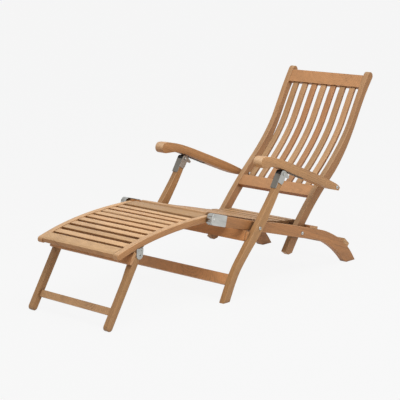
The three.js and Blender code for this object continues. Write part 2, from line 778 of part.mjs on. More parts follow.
function hingeBracket(name, side) {
  const halfDepth = railDepths(0) / 2 + fit;
  const nose = halfDepth * hingeNoseShare;
  const outline = rounded([
    [hingePlateLength, -halfDepth, shoulder], [hingePlateLength, halfDepth + plateThickness, shoulder],
    [-nose, halfDepth + plateThickness, nose], [-nose, -halfDepth, nose],
  ], 6);
  const low = railInner - fit - plateThickness;
  const high = railOuter + fit + plateThickness;
  const body = acrossChair(outline, side * low, side * high);
  const hollow = block(hingePlateLength * 3, railThickness + 2 * fit, halfDepth * 2,
    0, side * (railInner + railOuter) / 2, 0);
  const below = block(hingePlateLength * 3, railThickness + 2 * fit, halfDepth * 2,
    0, side * (railInner + railOuter) / 2, -halfDepth);
  const bracket = cut(body, hollow, below);
  bracket.rotateY(turnOf(railLine.getTangent(0)));
  bracket.translate(hingePin.x, 0, hingePin.y);
  return piece(name, join(bracket, hingePinGeometry(side)), steel);
}

// The pin, welded into the bracket, with a barrel in its nose and the end that the stile turns on
function hingePinGeometry(side) {
  const barrel = [railInner + fit, railOuter - fit];
  const outer = railOuter + plateThickness + 2 * fit;
  const stop = panelInner + tenonLength + 2 * fit;
  return turned([
    [0, stop], [boltRadius, stop], [boltRadius, barrel[0]],
    [hingeBarrelRadius, barrel[0]], [hingeBarrelRadius, barrel[1]],
    [boltRadius, barrel[1]], [boltRadius, outer], [nutRadius, outer],
    [nutRadius / 2, outer + plateThickness], [0, outer + plateThickness],
  ], side, hingePin.x, hingePin.y);
}

function seatFrame() {
  return placedGroup(0, 0, 0, [
    ...sides.map(([word, side]) => seatRail(`seat_rail_${word}`, side)),
    seatPanel(),
    seatNosing(),
    ...stretcherPlaceShares.map((share, i) => piece(`seat_stretcher_${i + 1}`,
      stretcherGeometry(share), midWood)),
    piece('seat_batten', seatBattenGeometry(), midWood),
    piece('rear_leg_batten', rearBattenGeometry(), redWood),
    ...sides.map(([word, side]) => hingeBracket(`footrest_hinge_${word}`, side)),
    ...sides.map(([word, side]) => piece(`leg_bolt_${word}`, boltGeometry(side, legBolt.x, legBolt.y,
      railInner - fit, legOuter + fit, { from: railOuter + fit, to: legInner - fit }), steel)),
    ...sides.map(([word, side]) => piece(`back_bolt_${word}`, boltGeometry(side, backPivot.x, backPivot.y,
      panelInner - fit, railOuter + fit, { from: panelOuter + fit, to: railInner - fit }), steel)),
  ]);
}

// Footrest, in its own frame at the hinge pins

const footrestLength = footrestRun + footStileDepth / 2;

const footLine = new THREE.SplineCurve(footrestLineShares.map(([along, down]) => new THREE.Vector2(
  -along * footrestRun, -down * footrestDrop)));
const footTopLine = new THREE.SplineCurve(Array.from({ length: 13 }, (_, i) => {
  const t = i / 12;
  return footLine.getPoint(t).addScaledVector(normalAt(footLine, t), -footStileDepth / 2);
}));
const footShare = (along) => parameterWhere(footTopLine, 'x', -along);

// A board of the footrest between its stiles, flush with their tops or set down from them, with a
// tenon at each end
function footBoard(along, width, thickness, nose, clearance = 0, setDown = 0) {
  const t = footShare(along);
  const at = footTopLine.getPoint(t);
  const turn = turnOf(footTopLine.getTangent(t)) + Math.PI;
  const section = slatSection(width, thickness, nose);
  const board = acrossChair(section, -panelInner + fit, panelInner - fit);
  const tenon = block(width - 2 * shoulder + 2 * clearance, 2 * (panelInner + tenonLength + clearance),
    thickness - 2 * shoulder + 2 * clearance, 0, 0, -thickness / 2);
  const whole = clearance > 0 ? tenon : join(board, tenon);
  whole.translate(0, 0, -setDown);
  whole.rotateY(turn);
  whole.translate(at.x, 0, at.y);
  return whole;
}

const footSlatPlaces = () => Array.from({ length: footSlatCount },
  (_, i) => firstFootSlat + i * footSlatPitch);
const footSlatBoard = (along, clearance) => footBoard(along, footSlatWidth, slatThickness,
  easedEdge, clearance, footSlatSetDown);
const frontRailBoard = (clearance) => footBoard(footrestLength - frontRailWidth / 2, frontRailWidth,
  footRailThickness, frontRailRound, clearance);
const rearRailBoard = (clearance) => footBoard(rearRailWidth / 2 - rearRailTail, rearRailWidth,
  footRailThickness, easedEdge, clearance);

function footStile(name, side) {
  const outline = barOutline(footLine, () => footStileDepth, 16, { roundStart: true, roundEnd: true });
  const stile = acrossChair(outline, side * panelInner, side * panelOuter, easedEdge);
  const mortises = footSlatPlaces().map((along) => footSlatBoard(along, fit));
  return piece(name, cut(stile, bore(), frontRailBoard(fit), rearRailBoard(fit), ...mortises), midWood);
}

const footPin = new THREE.Vector2(-footPinAlong, -footPinDrop - footStileDepth);

// A steel angle screwed up under the stile, whose outer cheek carries the pin of the foot leg
function footBracket(name, side) {
  const t = parameterWhere(footLine, 'x', -footPinAlong);
  const down = footStileDepth / 2 + 2 * fit + plateThickness / 2;
  const seat = footLine.getPoint(t).addScaledVector(normalAt(footLine, t), down);
  const cheekFace = panelOuter + fit;
  const base = block(plateWidth, cheekFace + plateThickness - panelInner, plateThickness,
    seat.x, side * (panelInner + cheekFace + plateThickness) / 2, seat.y, turnOf(footLine.getTangent(t)));
  const drop = new THREE.SplineCurve([seat, footPin]);
  const cheek = acrossChair(barOutline(drop, () => plateWidth, 1, { roundEnd: true }),
    side * cheekFace, side * (cheekFace + plateThickness));
  const pin = turned([
    [0, panelOuter - earThickness * 3], [pinRadius, panelOuter - earThickness * 3],
    [pinRadius, cheekFace + plateThickness * 2], [0, cheekFace + plateThickness * 2],
  ], side, footPin.x, footPin.y);
  return piece(name, join(base, cheek, pin), steel);
}

function footrest() {
  return placedGroup(hingePin.x, hingePin.y, 0, [
    ...sides.map(([word, side]) => footStile(`footrest_stile_${word}`, side)),
    piece('footrest_front_rail', frontRailBoard(), midWood),
    piece('footrest_rear_rail', rearRailBoard(), redWood),
    ...footSlatPlaces().map((along, i) => piece(`footrest_slat_${i + 1}`,
      footSlatBoard(along), i % 3 ? lightWood : midWood)),
    ...sides.map(([word, side]) => footBracket(`foot_leg_bracket_${word}`, side)),
  ]);
}

// Foot leg frame, in its own frame at the pins: Z up along the legs, X behind them

const footLegTurn = THREE.MathUtils.degToRad(footLegLean);
const footPinHeight = hingePin.y + footPin.y;
const footLegDrop = (footPinHeight + footLegAhead * Math.sin(footLegTurn) - footLegDepth / 2)
  / Math.cos(footLegTurn);

function footLeg(name, side) {
  const line = new THREE.SplineCurve([
    new THREE.Vector2(-footLegAhead, -footLegDrop), new THREE.Vector2(-footLegAhead, footLegTop),
  ]);
  const outline = barOutline(line, () => footLegDepth, 1, { roundStart: true, roundEnd: true });
  const blank = acrossChair(outline, side * panelInner, side * panelOuter, easedEdge);
  return piece(name, cut(blank, footCrossTenon(fit), earGeometry(side, fit)), lightWood);
}

const footRailAlong = (footPinHeight + footLegAhead * Math.sin(footLegTurn) - footRailHeight)
  / Math.cos(footLegTurn);

function footCrossTenon(clearance) {
  return block(footRailCrossThickness - shoulder + 2 * clearance,
    2 * (panelInner + tenonLength + clearance), footRailDepth - 2 * shoulder + 2 * clearance,
    -footLegAhead + shoulder, 0, -footRailAlong);
}

function footLegRail() {
  const board = block(footRailCrossThickness, 2 * (panelInner - fit), footRailDepth,
    -footLegAhead + shoulder, 0, -footRailAlong);
  return piece('foot_leg_lower_rail', join(board, footCrossTenon(0)), midWood);
}

// How far down the legs the batten starts, so that it bears on the undersides of the stiles
function footBattenAlong() {
  const reach = footLegAhead + footLegDepth / 2 + fit + frontBattenThickness;
  const underside = (x) => {
    const t = parameterWhere(footLine, 'x', x);
    return footLine.getPoint(t).addScaledVector(normalAt(footLine, t), footStileDepth / 2 + fit);
  };
  return lastThat((along) => {
    const x = footPin.x - reach * Math.cos(footLegTurn) - along * Math.sin(footLegTurn);
    const z = footPin.y + reach * Math.sin(footLegTurn) - along * Math.cos(footLegTurn);
    return z > underside(x).y;
  }, 0, footLegDepth * 2);
}

function footLegBatten() {
  const outline = rounded([
    [-frontBattenThickness, -frontBattenDepth / 2, shoulder], [0, -frontBattenDepth / 2],
    [0, frontBattenDepth / 2], [-frontBattenThickness, frontBattenDepth / 2, shoulder],
  ]);
  const batten = acrossChair(outline, -panelOuter, panelOuter);
  batten.translate(-footLegAhead - footLegDepth / 2 - fit, 0, -footBattenAlong() - frontBattenDepth / 2);
  return piece('foot_leg_batten', batten, midWood);
}

// A steel ear let into the top of the leg, which hangs the leg from its pin
function earGeometry(side, clearance = 0) {
  const radius = earRadius + clearance;
  const left = new THREE.Vector2(-radius, 0);
  const outline = [
    new THREE.Vector2(-radius, -earReach - clearance), new THREE.Vector2(radius, -earReach - clearance),
    new THREE.Vector2(radius, 0), ...roundEndPoints(new THREE.Vector2(), left).reverse(), left,
  ];
  const from = panelOuter - earThickness * 2 - clearance;
  const to = panelOuter - earThickness + clearance;
  const ear = acrossChair(outline, side * from, side * to);
  return clearance > 0 ? ear : cut(ear, bore(0, 0, pinRadius + fit));
}

function footLegFrame() {
  return placedGroup(hingePin.x + footPin.x, footPinHeight, footLegTurn, [
    ...sides.map(([word, side]) => footLeg(`foot_leg_${word}`, side)),
    footLegRail(),
    footLegBatten(),
    ...sides.map(([word, side]) => piece(`foot_leg_ear_${word}`, earGeometry(side), steel)),
  ]);
}

const chair = new THREE.Group();
chair.name = 'steamer_deck_chair';
chair.add(seatFrame(), legFrame(), backFrame(), arms(), footrest(), footLegFrame());
const middle = new THREE.Box3().setFromObject(chair, true).getCenter(new THREE.Vector3());
chair.position.x = -middle.x;

export default chair;
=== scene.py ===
# A folding steamer deck chair in oiled teak with satin steel fittings. The pieces come in the
# order in which the chair is put together, and the studio and the camera come last.

import bpy
from math import cos, pi, radians, sin
from mathutils import Matrix, Vector


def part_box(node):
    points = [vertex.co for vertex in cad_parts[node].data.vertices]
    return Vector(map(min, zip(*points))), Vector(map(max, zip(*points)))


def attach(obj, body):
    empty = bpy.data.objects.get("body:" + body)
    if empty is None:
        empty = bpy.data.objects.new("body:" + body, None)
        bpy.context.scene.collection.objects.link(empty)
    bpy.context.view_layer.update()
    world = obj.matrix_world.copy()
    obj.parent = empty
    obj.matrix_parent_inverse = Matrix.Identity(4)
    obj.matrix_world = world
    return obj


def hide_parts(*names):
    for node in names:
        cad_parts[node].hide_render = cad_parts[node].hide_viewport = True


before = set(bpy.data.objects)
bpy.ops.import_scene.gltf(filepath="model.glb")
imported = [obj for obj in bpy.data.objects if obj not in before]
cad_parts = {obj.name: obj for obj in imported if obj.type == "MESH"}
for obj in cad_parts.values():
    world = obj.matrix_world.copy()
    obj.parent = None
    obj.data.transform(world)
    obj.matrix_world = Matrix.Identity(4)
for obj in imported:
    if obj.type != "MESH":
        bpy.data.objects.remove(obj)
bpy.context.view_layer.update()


# The seat rails are the chair's two long members. Each is bandsawn with its rear leg from one wide
# teak plank, so its grain runs straight from end to end and comes out short where the rail bends.
# They are planed, eased with sandpaper and wiped with oil, which leaves a soft sheen.

chestnut = (0.53, 0.268, 0.114)
rubbed = (0.66, 0.45, 0.26)
# Painted light: up-facing faces are tinted paler and cooler as a painted sheen, and side faces darker
# and redder as painted shade.
painted_top_sheen = (1.00, 1.02, 1.07, 1)
soft_side_shade = (0.93, 0.83, 0.72, 1)
crevice_shade_brown = (0.17, 0.082, 0.032)
end_shade_width = 0.006
rail_slope = -21
ring_share = 0.17
band_share = 0.38
cloud_share = 0.30
fibre_share = 0.24
pore_share = 0.35
crevice_shade_reach = 0.018
worn_reach = 0.0025
sanded_ease = 0.0014
oiled_ior = 1.47
edge_samples = 6


def add_node(tree, kind, sockets, **settings):
    node = tree.nodes.new("ShaderNode" + kind)
    for key, value in settings.items():
        setattr(node, key, value)
    for key, value in sockets.items():
        if isinstance(value, bpy.types.NodeSocket):
            tree.links.new(value, node.inputs[key])
        else:
            node.inputs[key].default_value = value
    return node


def streaks(tree, place, along, across, detail):
    stretch = (along, across, across)
    drawn_out = add_node(tree, "VectorMath", {0: place, 1: stretch}, operation="MULTIPLY").outputs[0]
    noise = add_node(tree, "TexNoise", {"Vector": drawn_out, "Scale": 1, "Detail": detail})
    return noise.outputs[0]


def weigh(tree, value, weight, onto):
    return add_node(tree, "Math", {0: value, 1: weight, 2: onto}, operation="MULTIPLY_ADD").outputs[0]


def ramp(tree, value, stops):
    node = add_node(tree, "ValToRGB", {0: value})
    bands = node.color_ramp.elements
    while len(bands) < len(stops):
        bands.new(0.5)
    for band, (at, colour) in zip(bands, stops):
        band.position = at
        band.color = (*colour, 1)
    return node.outputs[0]


def blend_colours(tree, share, first, second):
    mix = add_node(tree, "Mix", {0: share, 6: first, 7: second}, data_type="RGBA")
    return mix.outputs[2]


def shaded(colour, amount):
    return tuple(channel * amount for channel in colour)


def edge_mask(tree, reach, low, high):
    softened = add_node(tree, "Bevel", {"Radius": reach}, samples=edge_samples)
    facing = add_node(tree, "NewGeometry", {})
    match = add_node(tree, "VectorMath", {0: softened.outputs[0], 1: facing.outputs["Normal"]},
                     operation="DOT_PRODUCT")
    return ramp(tree, match.outputs["Value"], [(low, (1, 1, 1)), (high, (0, 0, 0))])


# Painted shade: darker where the Ambient Occlusion node finds other surfaces close by, in joints, gaps
# and recesses.
def painted_crevice_shade(tree, reach, dark):
    open_air = add_node(tree, "AmbientOcclusion", {"Distance": reach}, samples=edge_samples)
    return ramp(tree, open_air.outputs["AO"], [(0.30, (dark, dark, dark)), (0.95, (0, 0, 0))])


def teak_board(name, slope, colour, number, across=False, shoulder=None, laths=None,
               sides=soft_side_shade, tops=painted_top_sheen, ends=rubbed):
    low, high = (Vector(corner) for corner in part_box(name))
    wood = bpy.data.materials.new("teak_" + name)
    wood.use_nodes = True
    tree = wood.node_tree
    lie = (0, radians(-slope), radians(90)) if across else (0, radians(-slope), 0)
    grain = Vector((0, 1, 0)) if across else Vector((cos(radians(slope)), 0, sin(radians(slope))))

    seen = add_node(tree, "TexCoord", {})
    board = add_node(tree, "Mapping", {"Vector": seen.outputs["Object"], "Location": (low + high) / 2,
                                       "Rotation": lie}, vector_type="TEXTURE").outputs[0]
    plank = Vector((number * 0.73 % 3, number * 0.39 % 1, number * 0.57 % 1))
    place = add_node(tree, "VectorMath", {0: board, 1: plank}).outputs[0]
    pith = Vector((number * 0.31 % 1, 0.035 + number * 0.017 % 0.05, -0.03 - number * 0.029 % 0.07))
    heart = add_node(tree, "VectorMath", {0: board, 1: pith}).outputs[0]
    tree_grown = add_node(tree, "VectorMath", {0: heart, 1: (0.3, 1, 1)}, operation="MULTIPLY")
    rings = add_node(tree, "TexWave", {
        "Vector": tree_grown.outputs[0], "Scale": 44 + number * 7 % 23, "Distortion": 5,
        "Detail": 2, "Detail Scale": 0.35, "Detail Roughness": 0.6,
    }, wave_type="RINGS", rings_direction="X", wave_profile="SAW").outputs["Fac"]

    band = streaks(tree, place, 2.4, 75, 3)
    cloud = streaks(tree, place, 3.1, 11, 2)
    fibre = streaks(tree, place, 14, 620, 2)
    pores = streaks(tree, place, 60, 1500, 0)
    mean_shift = 0.5 - (ring_share + band_share + cloud_share + fibre_share) / 2
    tone = weigh(tree, rings, ring_share, mean_shift)
    tone = weigh(tree, band, band_share, tone)
    tone = weigh(tree, cloud, cloud_share, tone)
    tone = weigh(tree, fibre, fibre_share, tone)
    if laths:
        first, pitch, spread = laths
        run = add_node(tree, "SeparateXYZ", {0: seen.outputs["Object"]}).outputs["X"]
        laths_along = weigh(tree, run, 1 / pitch, -first / pitch)
        count = add_node(tree, "Math", {0: laths_along}, operation="FLOOR").outputs[0]
        draw = add_node(tree, "TexWhiteNoise", {"W": count}, noise_dimensions="1D").outputs[0]
        tone = weigh(tree, draw, spread, weigh(tree, tone, 1, -spread / 2))
    oiled = ramp(tree, tone, [(0.30, shaded(chestnut, 0.62)), (0.44, shaded(colour, 0.90)),
                              (0.55, colour), (0.72, shaded(colour, 1.22))])
    pitted = ramp(tree, pores, [(0.60, (0, 0, 0)), (0.70, (1, 1, 1))])
    pore_brown = (*shaded(chestnut, 0.35), 1)
    dark_pores = blend_colours(tree, weigh(tree, pitted, pore_share, 0), oiled, pore_brown)

    facing = add_node(tree, "VectorMath", {0: seen.outputs["Normal"], 1: grain},
                      operation="DOT_PRODUCT").outputs["Value"]
    endways = add_node(tree, "Math", {0: facing}, operation="ABSOLUTE").outputs[0]
    end_mask = ramp(tree, endways, [(0.72, (0, 0, 0)), (0.95, (0.80, 0.80, 0.80))])
    end_grain = ramp(tree, rings, [(0, shaded(colour, 0.88)), (1, shaded(ends, 1.12))])
    with_ends = blend_colours(tree, end_mask, dark_pores, end_grain)

    # Painted light and shade: each face is tinted by which way it points, paler and cooler on top,
    # darker and redder on the sides.
    skyward = add_node(tree, "SeparateXYZ", {0: seen.outputs["Normal"]}).outputs["Z"]
    top_light_mask = ramp(tree, skyward, [(0.25, (0, 0, 0)), (0.85, (1, 1, 1))])
    top_light_side_shade = blend_colours(tree, top_light_mask, sides, tops)
    wood_with_painted_light = add_node(tree, "Mix", {0: 1, 6: with_ends, 7: top_light_side_shade}, data_type="RGBA",
                    blend_type="MULTIPLY").outputs[2]
    # Painted shade in the board's joints and gaps.
    crevice_shade = painted_crevice_shade(tree, crevice_shade_reach, 0.80)
    # Painted shade: a dark band at each end of the board, where it meets the stile, stands in for the
    # shadow and the shaded stile side along that joint.
    if shoulder:
        along_grain = add_node(tree, "SeparateXYZ", {0: board}).outputs["X"]
        from_middle = add_node(tree, "Math", {0: along_grain}, operation="ABSOLUTE").outputs[0]
        past_shoulder = weigh(tree, from_middle, 1 / end_shade_width, 1 - shoulder / end_shade_width)
        end_shade = ramp(tree, past_shoulder, [(0.05, (0, 0, 0)), (0.5, (0.7, 0.7, 0.7))])
        crevice_shade = add_node(tree, "Math", {0: crevice_shade, 1: end_shade}, operation="MAXIMUM").outputs[0]

    worn = edge_mask(tree, worn_reach, 0.80, 0.985)
    patchy = weigh(tree, cloud, 0.9, -0.15)
    worn_share = add_node(tree, "Math", {0: worn, 1: patchy}, operation="MULTIPLY").outputs[0]
    rubbed_edges = blend_colours(tree, worn_share, wood_with_painted_light, (*rubbed, 1))
    with_crevice_shade = blend_colours(tree, crevice_shade, rubbed_edges, (*crevice_shade_brown, 1))

    surface = tree.nodes["Principled BSDF"]
    tree.links.new(with_crevice_shade, surface.inputs["Base Color"])
    gloss = weigh(tree, fibre, 0.22, weigh(tree, cloud, 0.20, 0.30))
    tree.links.new(gloss, surface.inputs["Roughness"])
    surface.inputs["IOR"].default_value = oiled_ior
    relief = weigh(tree, pitted, -0.5, weigh(tree, rings, 0.2, fibre))
    eased = add_node(tree, "Bevel", {"Radius": sanded_ease}, samples=edge_samples).outputs[0]
    bump = add_node(tree, "Bump", {"Strength": 0.35, "Distance": 0.0003, "Height": relief,
                                   "Normal": eased})
    tree.links.new(bump.outputs[0], surface.inputs["Normal"])
    return wood


def finish_node(name, material):
    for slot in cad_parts[name].material_slots:
        slot.material = material


for number, side in enumerate(("left", "right")):
    finish_node(f"seat_rail_{side}", teak_board(f"seat_rail_{side}", rail_slope, chestnut, 3 + number))


# The seat is a teak lath panel: eleven slats across two bearers, which dips from the nosing to the
# back. Its stretchers run between the rails under it. Behind it a flat batten ties the rails, and a
# tilted one ties the rear legs.

honey = (0.60, 0.355, 0.172)
olive = (0.51, 0.300, 0.138)
panel_slope = -12
rear_batten_slope = -50
seat_laths = (-0.2425, 0.04852, 0.34)
seat_half = 0.1835
# Painted light on the seat: the slats' side faces in the gaps are painted dark as shade, and their tops
# get their own painted light level.
seat_gap_side_shade = (0.38, 0.29, 0.205, 1)
seat_top_light = (0.84, 0.82, 0.78, 1)

finish_node("seat_panel", teak_board("seat_panel", panel_slope, honey, 11, across=True,
                                     shoulder=seat_half, laths=seat_laths, sides=seat_gap_side_shade, tops=seat_top_light))
finish_node("seat_nosing", teak_board("seat_nosing", panel_slope, honey, 13, across=True,
                                      shoulder=seat_half))
for number in (1, 2):
    name = f"seat_stretcher_{number}"
    finish_node(name, teak_board(name, rail_slope, olive, 16 + number, across=True))
finish_node("seat_batten", teak_board("seat_batten", rail_slope, chestnut, 21, across=True))
finish_node("rear_leg_batten", teak_board("rear_leg_batten", rear_batten_slope, olive, 23, across=True))


# The main leg frame has two bowed teak legs that cross the seat rails outside them, and two rails
# tenoned between them. The legs are sawn from quieter, greyer boards than the rails.

leg_slope = 51
shaded_front = (0.78, 0.70, 0.60, 1)
lower_rail_brown = shaded(chestnut, 1.25)
upper_rail_brown = shaded(chestnut, 1.40)

for number, side in enumerate(("left", "right")):
    name = f"leg_{side}"
    finish_node(name, teak_board(name, leg_slope, olive, 31 + number, tops=shaded_front))
for name, slope, colour, number in (("leg_lower_rail", leg_slope, lower_rail_brown, 37),
                                    ("leg_upper_rail", rail_slope, upper_rail_brown, 39)):
    finish_node(name, teak_board(name, slope, colour, number, across=True))


# A folded steel strap caps each leg, with cheeks that hold the roller and a tongue that catches the
# rack under the arm. It is stamped from 2 mm sheet and brushed along its length.

steel_dark = (0.44, 0.44, 0.415)
steel_middle = (0.56, 0.56, 0.53)
steel_light = (0.65, 0.65, 0.62)
bared_steel = (0.78, 0.78, 0.76)
steel_crevice_dark = (0.07, 0.06, 0.05, 1)
strap_slope = leg_slope + 4
# Painted shade colour for the strap's front faces.
strap_front_shade = (0.20, 0.185, 0.16)
bare_edge_reach = 0.001
steel_ease = 0.0006


def satin_steel(name, slope, shine, shade_factor=1, front_shade=None, shade_reach=0.005):
    metal = bpy.data.materials.new("steel_" + name)
    metal.use_nodes = True
    tree = metal.node_tree
    seen = add_node(tree, "TexCoord", {})
    turned = add_node(tree, "Mapping", {"Vector": seen.outputs["Object"],
                                        "Rotation": (0, radians(-slope), 0)},
                      vector_type="TEXTURE").outputs[0]
    brushed = streaks(tree, turned, 30, 2600, 2)
    smeared = streaks(tree, turned, 22, 60, 3)
    # Painted shade: the steel colours are scaled down for fittings that sit in shade under the arms,
    # the rail's edge and the footrest.
    cast = ramp(tree, weigh(tree, brushed, 0.4, weigh(tree, smeared, 0.6, 0)), [
        (0.35, shaded(steel_dark, shade_factor)), (0.52, shaded(steel_middle, shade_factor)),
        (0.70, shaded(steel_light, shade_factor))])
    # Painted shade: faces that point to the front are tinted dark.
    if front_shade:
        ahead = add_node(tree, "SeparateXYZ", {0: seen.outputs["Normal"]}).outputs["X"]
        front = ramp(tree, weigh(tree, ahead, -1, 0), [(0.35, (0, 0, 0)), (0.75, (1, 1, 1))])
        cast = blend_colours(tree, front, cast, (*front_shade, 1))
    bright = edge_mask(tree, bare_edge_reach, 0.75, 0.98)
    edged = blend_colours(tree, weigh(tree, bright, 0.5, 0), cast, (*shaded(bared_steel, shade_factor), 1))
    # Painted shade: the steel is darkened towards near-black where the occlusion finds other surfaces
    # close by.
    steel_with_crevice_shade = blend_colours(tree, painted_crevice_shade(tree, shade_reach, 0.7), edged, steel_crevice_dark)
    surface = tree.nodes["Principled BSDF"]
    tree.links.new(steel_with_crevice_shade, surface.inputs["Base Color"])
    surface.inputs["Metallic"].default_value = 1
    tree.links.new(weigh(tree, smeared, 0.22, weigh(tree, brushed, 0.12, shine)),
                   surface.inputs["Roughness"])
    eased = add_node(tree, "Bevel", {"Radius": steel_ease}, samples=edge_samples).outputs[0]
    bump = add_node(tree, "Bump", {"Strength": 0.2, "Distance": 0.0001, "Height": brushed,
                                   "Normal": eased})
    tree.links.new(bump.outputs[0], surface.inputs["Normal"])
    return metal


strap_steel = satin_steel("leg_strap", strap_slope, shine=0.16, shade_factor=0.82, front_shade=strap_front_shade)
for side in ("left", "right"):
    finish_node(f"leg_top_bracket_{side}", strap_steel)


# The roller in each strap is a moulded rubber wheel that the arm lies on, so the arm doesn't rattle.
# It turns on a steel pin whose ends are peened over the cheeks.

roller_width = 0.0254
roller_waist = 0.0012
pin_radius = 0.004
peen_radius = 0.0062
peen_height = 0.0035
rim_bead = 0.003
rubber_black = (0.011, 0.011, 0.012)
rubber_dusty = (0.035, 0.034, 0.032)
weld_distance = 0.00001
smooth_below = radians(35)


def deselect_all():
    bpy.ops.object.select_all(action="DESELECT")


def spun(name, outline, centre, segments=40):
    deselect_all()
    bpy.ops.mesh.primitive_circle_add(vertices=len(outline), radius=1, fill_type="NOTHING",
                                      location=(0, 0, 0))
    piece = bpy.context.object
    piece.name = name
    for vertex, (radius, out) in zip(piece.data.vertices, outline):
        vertex.co = (centre[0] + radius, out, centre[2])
    bpy.ops.object.mode_set(mode="EDIT")
    bpy.ops.mesh.select_all(action="SELECT")
    bpy.ops.mesh.spin(steps=segments, angle=2 * pi, center=centre, axis=(0, 1, 0))
    bpy.ops.mesh.select_all(action="SELECT")
    bpy.ops.mesh.remove_doubles(threshold=weld_distance)
    bpy.ops.mesh.dissolve_degenerate(threshold=weld_distance)
    bpy.ops.mesh.select_all(action="SELECT")
    bpy.ops.mesh.normals_make_consistent(inside=False)
    bpy.ops.object.mode_set(mode="OBJECT")
    bpy.ops.object.shade_smooth_by_angle(angle=smooth_below)
    return piece


def copied(piece, name):
    deselect_all()
    twin = piece.copy()
    twin.data = piece.data.copy()
    twin.name = name
    bpy.context.collection.objects.link(twin)
    twin.select_set(True)
    bpy.context.view_layer.objects.active = twin
    bpy.ops.object.mode_set(mode="EDIT")
    bpy.ops.mesh.select_all(action="SELECT")
    return twin


def other_hand(piece, name):
    twin = copied(piece, name)
    bpy.ops.transform.resize(value=(1, -1, 1), center_override=(0, 0, 0))
    bpy.ops.mesh.normals_make_consistent(inside=False)
    bpy.ops.object.mode_set(mode="OBJECT")
    return twin


def black_rubber():
    rubber = bpy.data.materials.new("black_rubber")
    rubber.use_nodes = True
    tree = rubber.node_tree
    seen = add_node(tree, "TexCoord", {}).outputs["Object"]
    grit = streaks(tree, seen, 900, 900, 3)
    dust = streaks(tree, seen, 60, 60, 3)
    surface = tree.nodes["Principled BSDF"]
    dusted = ramp(tree, dust, [(0.4, rubber_black), (0.75, rubber_dusty)])
    tree.links.new(dusted, surface.inputs["Base Color"])
    tree.links.new(weigh(tree, dust, 0.3, 0.42), surface.inputs["Roughness"])
    bump = add_node(tree, "Bump", {"Strength": 0.3, "Distance": 0.0002, "Height": grit})
    tree.links.new(bump.outputs[0], surface.inputs["Normal"])
    return rubber


rubber = black_rubber()
pin_steel = satin_steel("pin", 90, shine=0.16)

low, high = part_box("arm_roller_right")
centre = Vector((low[0] + high[0], 0, low[2] + high[2])) / 2
radius = (high[0] - low[0]) / 2
middle = (low[1] + high[1]) / 2
half = roller_width / 2
tyre = spun("roller_tyre_right", [
    (pin_radius, middle - half), (radius - rim_bead, middle - half),
    (radius - rim_bead / 4, middle - half + rim_bead / 4), (radius, middle - half + rim_bead),
    (radius - roller_waist, middle - half / 3), (radius - roller_waist, middle + half / 3),
    (radius, middle + half - rim_bead), (radius - rim_bead / 4, middle + half - rim_bead / 4),
    (radius - rim_bead, middle + half), (pin_radius, middle + half)], centre)
tyre.data.materials.append(rubber)
reach = (high[1] - low[1]) / 2
pin = spun("roller_pin_right", [
    (0, middle - reach), (peen_radius * 0.6, middle - reach + peen_height * 0.1),
    (peen_radius, middle - reach + peen_height * 0.55), (peen_radius, middle - reach + peen_height),
    (pin_radius, middle - reach + peen_height), (pin_radius, middle + reach - peen_height),
    (peen_radius, middle + reach - peen_height), (peen_radius, middle + reach - peen_height * 0.55),
    (peen_radius * 0.6, middle + reach - peen_height * 0.1), (0, middle + reach)], centre)
pin.data.materials.append(pin_steel)
left_tyre = other_hand(tyre, "roller_tyre_left")
left_pin = other_hand(pin, "roller_pin_left")
for side, roller, axle in (("right", tyre, pin), ("left", left_tyre, left_pin)):
    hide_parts(f"arm_roller_{side}")
    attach(roller, "leg_frame")
    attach(axle, "leg_frame")


# The legs, the back and the arms each turn on a pair of steel button-head bolts with a locking nut
# inside. A spacer tube fills the gap between the two boards, short at the back and long at the arms.
# Bolt, nut and tube are turned in one outline, and the head has a hexagon socket.

bolt_radius = 0.004
button_radius = 0.0075
button_height = 0.0035
nut_height = 0.005
nut_radius = 0.0065
tube_radius = 0.008
socket_radius = 0.0027
socket_depth = 0.002
dome_angles = (0, 22, 44, 66)
leg_gap = (0.2563, 0.2657)
back_gap = (0.2273, 0.2297)
arm_gap = (0.2273, 0.2457)


def cut_away(piece, tool):
    recess = piece.modifiers.new("recess", "BOOLEAN")
    recess.object = tool
    recess.operation = "DIFFERENCE"
    deselect_all()
    piece.select_set(True)
    bpy.context.view_layer.objects.active = piece
    bpy.ops.object.modifier_apply(modifier=recess.name)
    bpy.data.objects.remove(tool, do_unlink=True)


def drill(piece, place, radius, depth, sides=24):
    bpy.ops.mesh.primitive_cylinder_add(vertices=sides, radius=radius, depth=2 * depth, location=place,
                                        rotation=(pi / 2, 0, 0))
    cut_away(piece, bpy.context.object)


def button_bolt(name, node, tube):
    low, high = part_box(node)
    near, far = low[1], high[1]
    centre = Vector(((low[0] + high[0]) / 2, 0, (low[2] + high[2]) / 2))
    under_head = far - button_height
    grip = near + nut_height
    start, end = tube
    sleeve = [(bolt_radius, start), (tube_radius, start), (tube_radius, end), (bolt_radius, end)]
    dome = [(button_radius * cos(radians(angle)),
             under_head + button_height * (0.25 + 0.75 * sin(radians(angle)))) for angle in dome_angles]
    bolt = spun(name, [
        (0, near), (bolt_radius * 0.85, near), (bolt_radius * 0.95, near + nut_height * 0.12),
        (nut_radius * 0.92, near + nut_height * 0.12), (nut_radius, near + nut_height * 0.25),
        (nut_radius, grip), (bolt_radius, grip), *sleeve, (bolt_radius, under_head),
        (button_radius, under_head), *dome, (0, far)], centre)
    drill(bolt, (centre.x, far, centre.z), socket_radius, socket_depth, sides=6)
    bolt.data.materials.append(bolt_steel)
    return bolt


